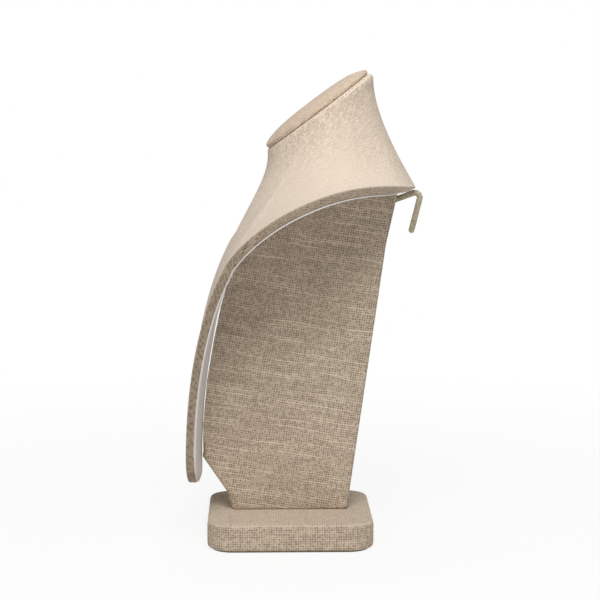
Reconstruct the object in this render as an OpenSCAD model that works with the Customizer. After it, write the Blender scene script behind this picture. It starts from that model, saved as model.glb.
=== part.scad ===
// Necklace stand: a linen-covered bust shell on an upright leg board and a base.
// The chest faces -Y, the nape and the chain hook face +Y, and +Z is up.
// The origin is the middle of the base's underside. All sizes are millimetres.

/* [Base] */
// Width of the base, side to side
base_w = 100; // [80:1:140]
// Depth of the base, front to back
base_d = 105; // [90:1:150]
// Radius of the base's upright corners, in plan
base_corner_r = 15; // [6:0.5:25]
// Radius of the base's upper and lower edges
base_edge_r = 2.6; // [1:0.1:5]
// Thickness of the base's board
base_board_t = 16; // [10:0.5:25]
// Thickness of the felt sheet under the base
felt_t = 1; // [0.8:0.1:3]
// How far the felt sheet stays in from the base's edge
felt_inset = 3; // [2:0.5:8]
// Width of the linen that is turned in under the base
base_hem = 13; // [8:1:20]

/* [Leg] */
// Thickness of the leg's board
leg_board_t = 15; // [10:0.5:24]
// Length of the leg's foot on the base, front to back
leg_foot_d = 74; // [50:1:80]
// Height of the leg's lower front corner
leg_corner_z = 53; // [40:1:90]
// Height where the slanted lower front edge turns down to the foot
leg_heel_z = 30; // [22:1:36]
// How far the slanted edge stands in front of the foot at that height
leg_heel_out = 3.5; // [0:0.5:8]
// Distance of the rear edge's bend behind the middle of the base
leg_bend_y = 61.5; // [48:0.5:68]
// Height of the rear edge's bend
leg_bend_z = 190; // [150:1:205]
// Distance of the leg's rear top corner behind the middle of the base
leg_top_y = 70.5; // [64:0.5:74]
// Radius of the leg's two long rear edges
leg_edge_r = 2.5; // [0.5:0.1:5]

/* [Bust] */
// Length of the neck, front to back
neck_d = 67; // [55:0.5:75]
// Width of the neck, side to side
neck_w = 62; // [50:0.5:75]
// Distance of the neck's axis behind the middle of the base
neck_y = 19.7; // [12:0.5:26]
// Height of the neck's front edge
neck_front_z = 250; // [235:1:270]
// Tilt of the neck's top plane
neck_tilt = 37; // [25:0.5:42]
// Radius of the neck's upper edge
neck_edge_r = 2.8; // [1.5:0.1:4]
// Width across the shoulders
shoulder_w = 190; // [150:1:230]
// Distance of the chest's lower edge in front of the middle of the base
chest_out = 65.6; // [56:0.5:80]
// Height of the chest's lower edge
chest_z = 41; // [30:1:60]
// Distance of the bend from chest to shoulders in front of the middle
bend_out = 39.9; // [34:0.5:46]
// Height of that bend
bend_z = 183.3; // [170:0.5:192]
// Distance of the nape's edge behind the middle of the base
nape_y = 80.4; // [76:0.5:90]
// Height of the nape's edge
nape_z = 226; // [216:0.5:235]
// Width of the chest's lower edge
chest_w = 80; // [60:1:110]
// Radius of the chest's two lower corners
chest_corner_r = 12; // [6:0.5:20]
// Depth of the shallow hollow across the lower chest
chest_dish = 2.8; // [0:0.1:5]
// Thickness of the moulded shell
shell_t = 4.8; // [3:0.1:7]
// Thickness of the lining sheet inside the shell
lining_t = 0.8; // [0.5:0.1:2]

/* [Neck cap] */
// Thickness of the cap's board
cap_board_t = 2.2; // [1.5:0.1:5]
// Height of the foam pad on the cap's board
cap_pad_h = 4.4; // [1.5:0.1:8]
// How far the cap stays in from the neck's side
cap_inset = 2.4; // [1:0.1:5]
// How far the cap sits forward of the neck's axis, along its slope
cap_shift = 1.6; // [0:0.1:2]

/* [Hook] */
// Diameter of the hook's wire
wire_d = 2.4; // [1.6:0.1:3]
// Wall of the woven sleeve on the wire
sleeve_t = 0.7; // [0.4:0.1:1]
// Rise of the hook's arm from the leg, in degrees
hook_rise = 20; // [10:1:30]
// How far the arm reaches behind the nape's edge
hook_reach = 1.8; // [0:0.1:6]
// Lean of the hanging end towards the leg, in degrees
hook_lean = 14; // [0:1:20]
// Length of the hanging end
hook_drop = 22.5; // [12:0.5:40]
// Radius of the bend, to the middle of the wire
hook_bend_r = 3.1; // [2.8:0.1:6]
// Depth of the hook's hole in the leg
hook_hole = 16; // [8:0.5:25]

/* [Screws] */
// Diameter of the wood screws
screw_d = 4; // [3:0.5:5]
// Length of the wood screws
screw_l = 38; // [30:1:50]
// Distance between the two screws
screw_pitch = 40; // [25:1:48]

/* [Fits] */
// Thickness of the linen cloth
cloth_t = 0.6; // [0.4:0.1:1]
// Glue line between the leg and the lining
glue_gap = 0.3; // [0.2:0.05:0.5]
// Clearance round the screws and the wire, on the radius
hole_gap = 0.1; // [0.05:0.05:0.3]
// Space between the leg's tongue and the neck's wall
tongue_gap = 2.2; // [1.5:0.1:4]

/* [Hidden] */

linen = [0.80, 0.74, 0.65];
board_brown = [0.66, 0.53, 0.38];
white = [0.90, 0.89, 0.88];

// Levels of the base, from the table up
hem_z = felt_t;
board_z = hem_z + cloth_t;
board_top = board_z + base_board_t;
base_top = board_top + cloth_t;

// Leg
leg_t = leg_board_t + 2 * cloth_t;
foot_y = leg_foot_d / 2;

// Columns round half of the bust, from the chest to the nape, and rows down it
cols = 30;
rows = 12;
turn = 2 * cols;
// The lining starts below the neck, at this row
lining_row = 4;
// Steps of each stretch of the rim's outline before it is spaced evenly
fine = 12;

wall = cloth_t + shell_t;
inner = wall + lining_t;

function bez(a, b, c, d, t) =
    pow(1 - t, 3) * a + 3 * t * pow(1 - t, 2) * b + 3 * t * t * (1 - t) * c + t * t * t * d;
function unit(v) = v / norm(v);
function mix(a, b, t) = a + (b - a) * t;
function ease(a, b, t) =
    let (u = max(0, min(1, (t - a) / (b - a))))
    u * u * (3 - 2 * u);

// Side profile of the sheet that the rim lies on, as [y, z]:
// 0 to 1 runs up the chest, 1 to 2 back over the shoulders to the nape.
bend_dir = [0.47, 0.88];
p_low = [-chest_out, chest_z];
p_bend = [-bend_out, bend_z];
p_nape = [nape_y, nape_z];
chest_pull = 0.41 * (bend_z - chest_z);
bend_pull = 0.27 * (bend_z - chest_z);
back_pull = 0.2 * (nape_y + bend_out);
nape_pull = 0.48 * (nape_y + bend_out);

function sheet(w) =
    w < 1
    ? bez(p_low, p_low + [-1, chest_pull], p_bend - bend_pull * bend_dir, p_bend, w)
    : bez(p_bend, p_bend + back_pull * bend_dir, p_nape + nape_pull * [-1, 0.31], p_nape, w - 1);
function sheet_dir(w) =
    unit(sheet(min(w + 0.01, 2)) - sheet(max(w - 0.01, 0)));

// Outline of the rim on that sheet, as [x, w]
half_low = chest_w / 2;
corner_w = chest_corner_r / (3 * chest_pull);
half_top = shoulder_w / 2;
side_slope = 42;
corner_top = [half_low + 2, 1.15 * corner_w];
tip_w = 1.5;
outline = concat(
    [for (i = [0:fine - 1]) [(half_low - chest_corner_r) * i / fine, 0]],
    [for (i = [0:fine - 1])
        bez([half_low - chest_corner_r, 0], [half_low - 0.35 * chest_corner_r, 0],
            corner_top - 0.4 * corner_w * [side_slope, 1], corner_top, i / fine)],
    [for (i = [0:2 * fine - 1])
        bez(corner_top, corner_top + 0.45 * [side_slope, 1],
            [half_top, tip_w - 0.33], [half_top, tip_w], i / (2 * fine))],
    [for (i = [0:2 * fine])
        bez([half_top, tip_w], [half_top, tip_w + 0.22],
            [0.61 * half_top, 2], [0, 2], i / (2 * fine))]
);
function on_sheet(p) = let (s = sheet(p.y)) [p.x, s.x, s.y];

// Running length along the outline, with its turning, to space the columns by
turn_weight = 14;
function edge_step(k) = on_sheet(outline[k]) - on_sheet(outline[k - 1]);
function spacing(k) =
    k == 0 ? 0
    : k == 1 ? norm(edge_step(1))
    : norm(edge_step(k)) + turn_weight * norm(unit(edge_step(k)) - unit(edge_step(k - 1)));
function lengths(k = 0, sum = 0, out = []) =
    k == len(outline) ? out : lengths(k + 1, sum + spacing(k), concat(out, [sum + spacing(k)]));
run = lengths();
run_all = run[len(run) - 1];
x_table = [for (k = [0:len(run) - 1]) [run[k] / run_all, outline[k].x]];
w_table = [for (k = [0:len(run) - 1]) [run[k] / run_all, outline[k].y]];
// Half width of the chest at a height, for the hollow
side_table = [for (k = [2 * fine:3 * fine]) [on_sheet(outline[k]).z, outline[k].x]];

// Angle of a column on the neck, from the front
function neck_angle(t) = 180 * (0.83 * t - 0.38 * t * t + 0.55 * t * t * t);

// Height of the neck's tilted top plane
function top_z(y) = neck_front_z + (y - neck_y + neck_d / 2) * tan(neck_tilt);
function neck_out(a) = unit([sin(a) / neck_w, -cos(a) / neck_d, 0]);
// Slope of that plane across the neck's wall, outwards
function wall_slope(out) = tan(neck_tilt) * out.y;
function across_wall(out) = norm([1, wall_slope(out)]);
// The neck's side, where the rounding of its upper edge begins
function neck_side(a) =
    let (
        y = neck_y - neck_d / 2 * cos(a),
        out = neck_out(a)
    )
    [neck_w / 2 * sin(a), y, top_z(y - neck_edge_r * out.y) - neck_edge_r * across_wall(out)];

// One meridian from the neck's side down to the rim
neck_pull_front = 31;
neck_pull_back = 25;
function meridian(i) =
    let (
        t = i / cols,
        a = neck_angle(t),
        w = lookup(t, w_table),
        rim = on_sheet([lookup(t, x_table), w]),
        top = neck_side(a),
        along = sheet_dir(w),
        aim = [top.x, top.y, sheet(1.35).y] - rim,
        slide = aim.y * along.x + aim.z * along.y,
        flat_way = [aim.x, slide * along.x, slide * along.y],
        way = unit(unit(flat_way) + [0, 0, 1.5 * ease(0.8, 1, t)]),
        pull = norm(flat_way) * mix(0.84, 0.5, ease(0.1, 0.85, t)),
        drop = mix(neck_pull_front, neck_pull_back, ease(0, 0.6, t)),
        lean = mix(-2.9, 0, ease(0, 0.6, t)),
        c1 = top + lean * neck_out(a) - [0, 0, drop],
        c2 = rim + pull * way
    )
    [for (j = [0:rows]) hollow(bez(top, c1, c2, rim, j / rows))];
function hollow(p) =
    let (
        half = lookup(p.z, side_table),
        across = max(0, 1 - pow(p.x / half, 2)),
        up = 1 - ease(chest_z + 0.55 * (bend_z - chest_z), bend_z, p.z)
    )
    p.y > 0 ? p : p + [0, chest_dish * across * up, 0];

half_grid = [for (i = [0:cols]) meridian(i)];
function col(i) =
    let (k = (i + turn) % turn)
    k <= cols ? half_grid[k] : [for (p = half_grid[turn - k]) [-p.x, p.y, p.z]];
grid = [for (i = [0:turn - 1]) col(i)];

function normal(i, j) =
    let (
        across = grid[(i + 1) % turn][j] - grid[(i + turn - 1) % turn][j],
        down = grid[i][min(j + 1, rows)] - grid[i][max(j - 1, 0)]
    )
    unit(cross(down, across));
normals = [for (i = [0:turn - 1]) [for (j = [0:rows]) normal(i, j)]];

// A point of the bust, a depth below the linen's outer face
function at(i, j, depth) = grid[i][j] - depth * normals[i][j];
// The same at the rim, drawn back up the shell by a distance
function at_rim(i, depth, back) =
    at(i, rows, depth) + back * unit(grid[i][rows - 1] - grid[i][rows]);
// Outward direction of the neck's wall at a column
function wall_out(i) =
    let (p = grid[i][0])
    unit([p.x / pow(neck_w, 2), (p.y - neck_y) / pow(neck_d, 2), 0]);
// Point of the rounded upper edge: turned 0 at the wall, 1 where it meets the top plane
function at_edge(i, depth, turned) =
    let (
        out = wall_out(i),
        a = turned * (90 + atan(wall_slope(out))),
        r = neck_edge_r - depth
    )
    grid[i][0] + (r * cos(a) - neck_edge_r) * out + [0, 0, r * sin(a)];
// Inner corner of the neck's top, a depth below its plane
function at_top(i, depth) =
    let (
        out = wall_out(i),
        p = grid[i][0] - wall * out
    )
    [p.x, p.y, top_z(p.y) - depth * across_wall(out)];

// A closed skin between two depths. Its section is one loop of points per column,
// which runs down the outer face and, from the point numbered back, up the inner one.
// The quads of both faces are split along one diagonal, so that skins meet face to face.
module skin(loops, back) {
    n = len(loops[0]);
    polyhedron(
        points = [for (loop = loops) each loop],
        faces = [
            for (i = [0:turn - 1]) for (k = [0:n - 1])
                let (
                    a = i * n + k,
                    b = i * n + (k + 1) % n,
                    c = ((i + 1) % turn) * n + (k + 1) % n,
                    d = ((i + 1) % turn) * n + k
                )
                each k < back ? [[a, c, b], [a, d, c]] : [[a, d, b], [b, d, c]]
        ],
        convexity = 6
    );
}

// Triangles from a hub to a ring of n points, numbered from first on
function fan(hub, first, n, back) = [
    for (k = [0:n - 1])
        let (a = first + k, b = first + (k + 1) % n)
        back ? [hub, b, a] : [hub, a, b]
];

// Stacked rings of one count, closed by flat ends, which are fans round their hubs
function hub_of(ring) = [ring[0].x, leg_hub.x, leg_hub.y];
module fanned(list) {
    n = len(list[0]);
    top = len(list) - 1;
    all = (top + 1) * n;
    polyhedron(
        points = concat([for (ring = list) each ring], [hub_of(list[0]), hub_of(list[top])]),
        faces = concat(
            fan(all, 0, n, false),
            stack_sides(n, top),
            fan(all + 1, top * n, n, true)
        ),
        convexity = 4
    );
}
function stack_sides(n, top) = [
    for (i = [0:top - 1]) for (k = [0:n - 1])
        let (
            a = i * n + k,
            b = i * n + (k + 1) % n,
            c = (i + 1) * n + (k + 1) % n,
            d = (i + 1) * n + k
        )
        each [[a, c, b], [a, d, c]]
];

// The same of convex rings, which need no hub
module rings(list) {
    n = len(list[0]);
    top = len(list) - 1;
    polyhedron(
        points = [for (ring = list) each ring],
        faces = concat(
            [[for (k = [0:n - 1]) k]],
            stack_sides(n, top),
            [[for (k = [n - 1:-1:0]) top * n + k]]
        ),
        convexity = 4
    );
}

// Rounded block: plan corners of one radius, upper and lower edges of another
module soft_block(w, d, h, corner, edge) {
    hull()
        for (x = [-1, 1], y = [-1, 1])
            translate([x * (w / 2 - corner), y * (d / 2 - corner), 0])
                rotate_extrude($fn = 36) {
                    translate([0, edge]) square([corner, h - 2 * edge]);
                    square([corner - edge, h]);
                    translate([corner - edge, edge]) circle(r = edge, $fn = 12);
                    translate([corner - edge, h - edge]) circle(r = edge, $fn = 12);
                }
}

module plate(w, d, h, corner) {
    linear_extrude(h) {
        square([w - 2 * corner, d], center = true);
        square([w, d - 2 * corner], center = true);
        for (x = [-1, 1], y = [-1, 1])
            translate([x * (w / 2 - corner), y * (d / 2 - corner)])
                circle(r = corner, $fn = 48);
    }
}

// Two wood screws, driven up from under the base. grow widens them to their holes.
head_d = 2 * screw_d;
head_h = 0.55 * screw_d;
screw_z = board_z + 0.4;
point_h = 1.2 * screw_d;
module screws(grow) {
    for (s = [-1, 1])
        translate([0, s * screw_pitch / 2, screw_z]) {
            cylinder(d = screw_d + 2 * grow, h = screw_l - point_h, $fn = 32);
            translate([0, 0, screw_l - point_h])
                cylinder(d1 = screw_d + 2 * grow, d2 = 0.8 + 2 * grow, h = point_h + grow, $fn = 32);
            translate([0, 0, 0.6])
                cylinder(d1 = head_d + 2 * grow, d2 = screw_d + 2 * grow, h = head_h, $fn = 32);
            cylinder(d = head_d + 2 * grow, h = 0.6, $fn = 32);
        }
}
module head_recess() {
    for (s = [-1, 1])
        translate([0, s * screw_pitch / 2, board_z - 1])
            cylinder(d = head_d + 2 * hole_gap, h = 1.4 + hole_gap, $fn = 32);
}

module base_board() {
    color(board_brown)
        difference() {
            translate([0, 0, board_z])
                soft_block(base_w - 2 * cloth_t, base_d - 2 * cloth_t, base_board_t,
                    base_corner_r - cloth_t, base_edge_r - cloth_t / 2);
            screws(hole_gap);
            head_recess();
        }
}

module base_cover() {
    color(linen)
        difference() {
            translate([0, 0, hem_z])
                soft_block(base_w, base_d, base_top - hem_z, base_corner_r, base_edge_r);
            translate([0, 0, board_z])
                soft_block(base_w - 2 * cloth_t, base_d - 2 * cloth_t, base_board_t,
                    base_corner_r - cloth_t, base_edge_r - cloth_t / 2);
            translate([0, 0, hem_z - 1])
                plate(base_w - 2 * base_hem, base_d - 2 * base_hem, cloth_t + 2, base_corner_r / 2);
            screws(hole_gap);
        }
}

module base_pad() {
    color(board_brown)
        union() {
            plate(base_w - 2 * felt_inset, base_d - 2 * felt_inset, felt_t,
                base_corner_r - felt_inset / 2);
            plate(base_w - 2 * base_hem - 2 * glue_gap, base_d - 2 * base_hem - 2 * glue_gap,
                board_z, base_corner_r / 2);
        }
}

module base_screws() {
    color("silver")
        screws(0);
}

// The leg's outline, as [y, z]. Its front and top follow the lining and the neck.
// cover draws the open edges in to the board.
function gap_at(j) = mix(tongue_gap, glue_gap, ease(0.25, 0.9, j / rows));
function seat(i, j) = let (p = at(i, j, inner + gap_at(j))) [p.y, p.z];
function by_height(i) = [for (j = [rows:-1:0]) [seat(i, j).y, seat(i, j).x]];
front_table = by_height(0);
back_table = [for (j = [0:rows]) seat(cols, j)];
corner_front = [lookup(leg_corner_z, front_table), leg_corner_z];
rear_top = [leg_top_y, lookup(leg_top_y, back_table)];
rear_bend = [leg_bend_y, leg_bend_z];
rear_foot = [foot_y, base_top];
front_foot = [-foot_y, base_top];
heel = [-foot_y - leg_heel_out, leg_heel_z];
// The leg's linen ends a little above the nape, where the neck's tongue begins
tongue_rise = 14;
tongue_z = nape_z + tongue_rise;
tongue_line = [
    [lookup(tongue_z, front_table), tongue_z],
    [lookup(tongue_z, by_height(cols)), tongue_z]
];
function under_cap(p) = [p.x, top_z(p.x) - glue_gap / cos(neck_tilt)];
top_line = [under_cap(seat(0, 0)), under_cap(seat(cols, 0))];

// The outline up to a level, with the line that ends it there
function leg_line(cover, end_z, end_line) = concat(
    [front_foot + [cover, 0], heel + [cover, 0], corner_front + cover * [0.8, 0.6]],
    [
        for (j = [rows - 1:-1:1])
            let (p = seat(0, j))
            if (p.y > leg_corner_z + 2 && p.y < end_z - 2) p
    ],
    end_line,
    [
        for (j = [1:rows - 1])
            let (p = seat(cols, j))
            if (p.y < end_z - 0.5 && p.x < leg_top_y - leg_edge_r - 1) p
    ],
    [rear_top - [cover, 0], rear_bend - [cover, 0], rear_foot - [cover, 0]]
);
board_end_z = 2 * nape_z;
// A point that sees the whole outline, [y, z]
leg_hub = [neck_y, 0.8 * leg_bend_z];

// The leg's form as a stack of its outline from side to side. Near both faces the
// open edges are drawn in, which rounds them.
edge_turns = [0, 30, 60, 90];
function leg_stack(cover, t, r, end_z, end_line) = [
    for (s = [-1, 1]) for (k = [0:3])
        let (
            a = s < 0 ? 90 - edge_turns[k] : edge_turns[k],
            line = leg_line(cover + r * (1 - cos(a)), end_z, end_line),
            n = len(line)
        )
        [for (m = [n - 1:-1:0]) [s * (t / 2 - r * (1 - sin(a))), line[m].x, line[m].y]]
];

module leg_board() {
    color(board_brown)
        difference() {
            fanned(leg_stack(cloth_t, leg_board_t, leg_edge_r - cloth_t / 2, board_end_z, top_line));
            screws(hole_gap);
            hook_arm(wire_d + 2 * hole_gap, 0);
            hook_arm(sleeve_d + 2 * hole_gap, hook_hole - sleeve_in);
        }
}

// A sheet between an outer and an inner stack of one form. It lies on both sides and
// round the open edges, and ends at the glued ones, where nothing runs across.
module wrapped(outer, inside) {
    n = len(outer[0]);
    last = len(outer) - 1;
    in_0 = (last + 1) * n;
    hub = 2 * in_0;
    open = [0, 1, n - 3, n - 2];
    glued = concat([for (k = [2:n - 4]) k], [n - 1]);
    polyhedron(
        points = concat(
            [for (ring = outer) each ring],
            [for (ring = inside) each ring],
            [hub_of(outer[0]), hub_of(outer[last]), hub_of(inside[0]), hub_of(inside[last])]
        ),
        faces = concat(
            fan(hub, 0, n, false),
            fan(hub + 1, last * n, n, true),
            fan(hub + 2, in_0, n, true),
            fan(hub + 3, in_0 + last * n, n, false),
            [
                for (k = open) for (i = [0:last - 1])
                    let (a = i * n + k, d = a + n)
                    each [
                        [a, d + 1, a + 1], [a, d, d + 1],
                        [in_0 + a, in_0 + a + 1, in_0 + d + 1], [in_0 + a, in_0 + d + 1, in_0 + d]
                    ]
            ],
            [
                for (k = glued) for (pair = [[0, in_0], [in_0 + last * n, last * n]])
                    let (
                        next = (k + 1) % n,
                        a = pair[0] + k,
                        c = pair[1] + next
                    )
                    each [[a, c, pair[0] + next], [a, pair[1] + k, c]]
            ],
            [
                for (m = [n - 3, 0]) for (i = [0:last - 1])
                    let (a = i * n + m, d = a + n)
                    each [[d, a, in_0 + a], [d, in_0 + a, in_0 + d]]
            ],
            [
                for (m = [n - 1, 2]) for (i = [0:last - 1])
                    let (a = i * n + m, d = a + n)
                    each [[a, d, in_0 + d], [a, in_0 + d, in_0 + a]]
            ]
        ),
        convexity = 6
    );
}

module leg_cover() {
    color(linen)
        difference() {
            wrapped(
                leg_stack(0, leg_t, leg_edge_r, tongue_z, tongue_line),
                leg_stack(cloth_t, leg_board_t, leg_edge_r - cloth_t / 2, tongue_z, tongue_line)
            );
            hook_arm(sleeve_d + 2 * hole_gap, 0);
        }
}

// Hook: an arm out of the leg under the nape's edge, a bend and a hanging end
sleeve_d = wire_d + 2 * sleeve_t;
sleeve_in = 4;
arm_dir = [cos(hook_rise), sin(hook_rise)];
rim_low = at(cols, rows, inner);
arm_end_y = nape_y + hook_reach - hook_bend_r;
arm_end = [
    arm_end_y,
    rim_low.z + (arm_end_y - rim_low.y) * tan(hook_rise) - (sleeve_d / 2 + glue_gap) / cos(hook_rise)
];
arm_out = (arm_end.x - leg_top_y) / cos(hook_rise);
arm_l = arm_out + hook_hole;
hook_turn = 90 + hook_rise + hook_lean;

// Places things in the hook's frame: along +Z of the arm, from the hole's bottom
module on_arm() {
    start = arm_end - arm_l * arm_dir;
    translate([0, start.x, start.y])
        rotate([hook_rise - 90, 0, 0])
            children();
}
module hook_arm(d, from) {
    on_arm()
        translate([0, 0, from])
            cylinder(d = d, h = arm_l + bend_lap - from, $fn = 32);
}
module hook_form(d, from, tip) {
    hook_arm(d, from);
    on_arm()
        translate([0, hook_bend_r, arm_l])
            rotate([0, -90, 0])
                rotate([0, 0, -90])
                    bend_and_drop(d, tip);
}
// The bend is a hair fatter than the straight ends, which run a little into it
bend_swell = 0.06;
bend_lap = 0.2;
module bend_and_drop(d, tip) {
    rotate_extrude(angle = hook_turn, $fn = 48)
        translate([hook_bend_r, 0])
            circle(d = d + bend_swell, $fn = 32);
    rotate([0, 0, hook_turn])
        translate([hook_bend_r, 0, 0])
            rotate([-90, 0, 0]) {
                translate([0, 0, -bend_lap])
                    cylinder(d = d, h = hook_drop - tip + bend_lap, $fn = 32);
                translate([0, 0, hook_drop - tip]) sphere(d = d, $fn = 32);
            }
}

module hook_wire() {
    color("silver")
        hook_form(wire_d, 0, sleeve_t + wire_d / 2);
}

module hook_sleeve() {
    color(linen)
        difference() {
            hook_form(sleeve_d, hook_hole - sleeve_in, sleeve_t + wire_d / 2);
            hook_form(wire_d, 0, sleeve_t + wire_d / 2);
        }
}

module bust_shell() {
    color(white)
        skin([for (i = [0:turn - 1]) concat(
            [at_top(i, cloth_t)],
            [for (k = [2:-1:0]) at_edge(i, cloth_t, k / 2)],
            [for (j = [1:rows - 1]) at(i, j, cloth_t)],
            [at_rim(i, cloth_t, cloth_t), at_rim(i, wall, cloth_t)],
            [for (j = [rows - 1:-1:1]) at(i, j, wall)]
        )], rows + 4);
}

module bust_cover() {
    color(linen)
        skin([for (i = [0:turn - 1]) concat(
            [at_top(i, 0)],
            [for (k = [2:-1:0]) at_edge(i, 0, k / 2)],
            [for (j = [1:rows]) at(i, j, 0)],
            [at(i, rows, wall), at_rim(i, wall, cloth_t), at_rim(i, cloth_t, cloth_t)],
            [for (j = [rows - 1:-1:1]) at(i, j, cloth_t)],
            [for (k = [0:2]) at_edge(i, cloth_t, k / 2)],
            [at_top(i, cloth_t)]
        )], rows + 4);
}

module bust_lining() {
    color(white)
        skin([for (i = [0:turn - 1]) concat(
            [for (j = [lining_row:rows - 1]) at(i, j, wall)],
            [at_rim(i, wall, cloth_t), at_rim(i, inner, cloth_t)],
            [for (j = [rows - 1:-1:lining_row]) at(i, j, inner)]
        )], rows - lining_row + 1);
}

// Neck cap, built flat on the neck's tilted plane: an ellipse, inset and raised
cap_steps = 36;
cap_half_w = neck_w / 2 - cap_inset;
cap_half_d = neck_d / 2 / cos(neck_tilt) - cap_inset;
module on_neck_top() {
    translate([0, neck_y, top_z(neck_y)])
        rotate([neck_tilt, 0, 0])
            translate([0, -cap_shift, 0])
                children();
}
function oval(in, z) = [
    for (k = [0:cap_steps - 1])
        let (a = 360 * k / cap_steps)
        [(cap_half_w - in) * cos(a), (cap_half_d - in) * sin(a), z]
];
// Height of the pad's crown, for u from 1 at the rim to 0 in the middle. The part of
// it that its side takes, and how full it is
crown_side = 0.22;
crown_fill = 2.3;
function crown(u, h) =
    cap_board_t + h * (crown_side + (1 - crown_side) * (1 - pow(u, crown_fill)));
module crowned(grow, from, h) {
    steps = [1, 0.92, 0.75, 0.5, 0.2];
    rings(concat(
        [oval(-grow, from), oval(-grow, cap_board_t)],
        [for (u = steps) oval(-grow + (cap_half_w + grow) * (1 - u) + (u == 1 ? 0.5 : 0), crown(u, h))]
    ));
}

module neck_cap_board() {
    color(board_brown)
        on_neck_top()
            rings([oval(cloth_t, cloth_t), oval(cloth_t, cap_board_t)]);
}

module neck_cap_pad() {
    color(white)
        on_neck_top()
            crowned(-cloth_t, cap_board_t, cap_pad_h);
}

module neck_cap_cover() {
    color(linen)
        on_neck_top()
            difference() {
                crowned(0, 0, cap_pad_h + cloth_t);
                rings([oval(cloth_t, cloth_t), oval(cloth_t, cap_board_t)]);
                crowned(-cloth_t, cap_board_t, cap_pad_h);
            }
}

base_board();
base_cover();
base_pad();
base_screws();
leg_board();
leg_cover();
hook_wire();
hook_sleeve();
bust_shell();
bust_cover();
bust_lining();
neck_cap_board();
neck_cap_pad();
neck_cap_cover();
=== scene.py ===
"""Dresses the CAD frame of a necklace stand: woven linen over the bust, leg and base,
the padded neck cap, the braided hook and a plain pale studio."""

import math
from collections import namedtuple

import bmesh
import bpy
import numpy as np
from bpy.props import FloatProperty, FloatVectorProperty, IntProperty, PointerProperty
from mathutils import Matrix, Vector


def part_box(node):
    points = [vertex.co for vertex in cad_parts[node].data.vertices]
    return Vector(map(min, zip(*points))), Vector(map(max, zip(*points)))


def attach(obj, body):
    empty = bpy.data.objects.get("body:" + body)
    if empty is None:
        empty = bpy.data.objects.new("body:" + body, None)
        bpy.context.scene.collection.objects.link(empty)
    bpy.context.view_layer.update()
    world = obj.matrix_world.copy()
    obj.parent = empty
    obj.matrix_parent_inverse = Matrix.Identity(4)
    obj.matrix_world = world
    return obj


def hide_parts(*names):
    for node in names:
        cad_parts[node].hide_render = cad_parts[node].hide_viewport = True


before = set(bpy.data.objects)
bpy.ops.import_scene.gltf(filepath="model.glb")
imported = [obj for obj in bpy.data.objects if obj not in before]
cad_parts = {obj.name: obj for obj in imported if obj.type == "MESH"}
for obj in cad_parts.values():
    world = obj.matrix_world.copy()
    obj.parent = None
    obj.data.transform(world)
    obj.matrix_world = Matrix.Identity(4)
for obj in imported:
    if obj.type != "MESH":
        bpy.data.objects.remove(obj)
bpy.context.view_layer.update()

bl_info = {
    "name": "Necklace Stand",
    "version": (1, 0, 0),
    "blender": (4, 5, 0),
    "location": "View3D > Sidebar > Necklace Stand",
    "description": "Makes the linen, padded neck cap, braided hook and studio of a necklace stand",
    "category": "Object",
}

MM = 0.001
CLOTH_MAP = "cloth"
# Name of the point attribute that holds each point's share of the rim's painted shade
PAINTED_RIM_SHADE = "painted_rim_shade"
NOISE = "ShaderNodeTexNoise"
WHITE_NOISE = "ShaderNodeTexWhiteNoise"
VECTOR_MATH = "ShaderNodeVectorMath"


# Colours and nodes


def hex_colour(text):
    """An sRGB hex value as linear red, green, blue and alpha."""
    channels = [int(text[i : i + 2], 16) / 255 for i in (0, 2, 4)]
    linear = [c / 12.92 if c <= 0.04045 else ((c + 0.055) / 1.055) ** 2.4 for c in channels]
    return (*linear, 1.0)


BARK = hex_colour("6b5a45")


def darker(colour, share):
    """A colour at a share of its light."""
    return (*(channel * share for channel in colour[:3]), 1.0)


def add_node(tree, kind, inputs=None, **settings):
    """Adds a node with its settings. Each input gets a value, or a link from a socket or
    from the first result in use of another node."""
    node = tree.nodes.new(kind)
    for name, value in settings.items():
        setattr(node, name, value)
    for key, value in (inputs or {}).items():
        if isinstance(value, bpy.types.Node):
            value = next(result for result in value.outputs if result.enabled)
        if isinstance(value, bpy.types.NodeSocket):
            tree.links.new(value, node.inputs[key])
        else:
            node.inputs[key].default_value = value
    return node


def maths(tree, operation, *values):
    """A node that calculates with values, sockets or other nodes."""
    return add_node(tree, "ShaderNodeMath", dict(enumerate(values)), operation=operation)


def mix_values(tree, share, first, second):
    """The first value where share is 0, and the second where it is 1."""
    return add_node(tree, "ShaderNodeMix", {0: share, 2: first, 3: second})


def mix_colours(tree, share, first, second):
    """The same for two colours."""
    return add_node(tree, "ShaderNodeMix", {0: share, 6: first, 7: second}, data_type="RGBA")


def in_range(tree, value, low, high, start=0.0, end=1.0, curve="SMOOTHSTEP"):
    """Goes from start to end as the value goes from low to high."""
    inputs = {"Value": value, "From Min": low, "From Max": high, "To Min": start, "To Max": end}
    return add_node(tree, "ShaderNodeMapRange", inputs, interpolation_type=curve)


def paint(tree, shader, colour, height, depth, strength):
    """Gives a shader its colour, from a mix of colours, and its relief."""
    relief = {"Height": height, "Distance": depth, "Strength": strength}
    relief = add_node(tree, "ShaderNodeBump", relief)
    tree.links.new(colour.outputs[2], shader.inputs["Base Color"])
    tree.links.new(relief.outputs[0], shader.inputs["Normal"])


def empty_tree(owner):
    """The node tree of a material or a world, emptied."""
    owner.use_nodes = True
    owner.node_tree.nodes.clear()
    return owner.node_tree


def new_material(name, inputs):
    """A material whose Principled shader has the given plain inputs, and its tree."""
    material = bpy.data.materials.new(name)
    tree = empty_tree(material)
    shader = add_node(tree, "ShaderNodeBsdfPrincipled", inputs)
    add_node(tree, "ShaderNodeOutputMaterial", {"Surface": shader})
    return material, tree, shader
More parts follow.
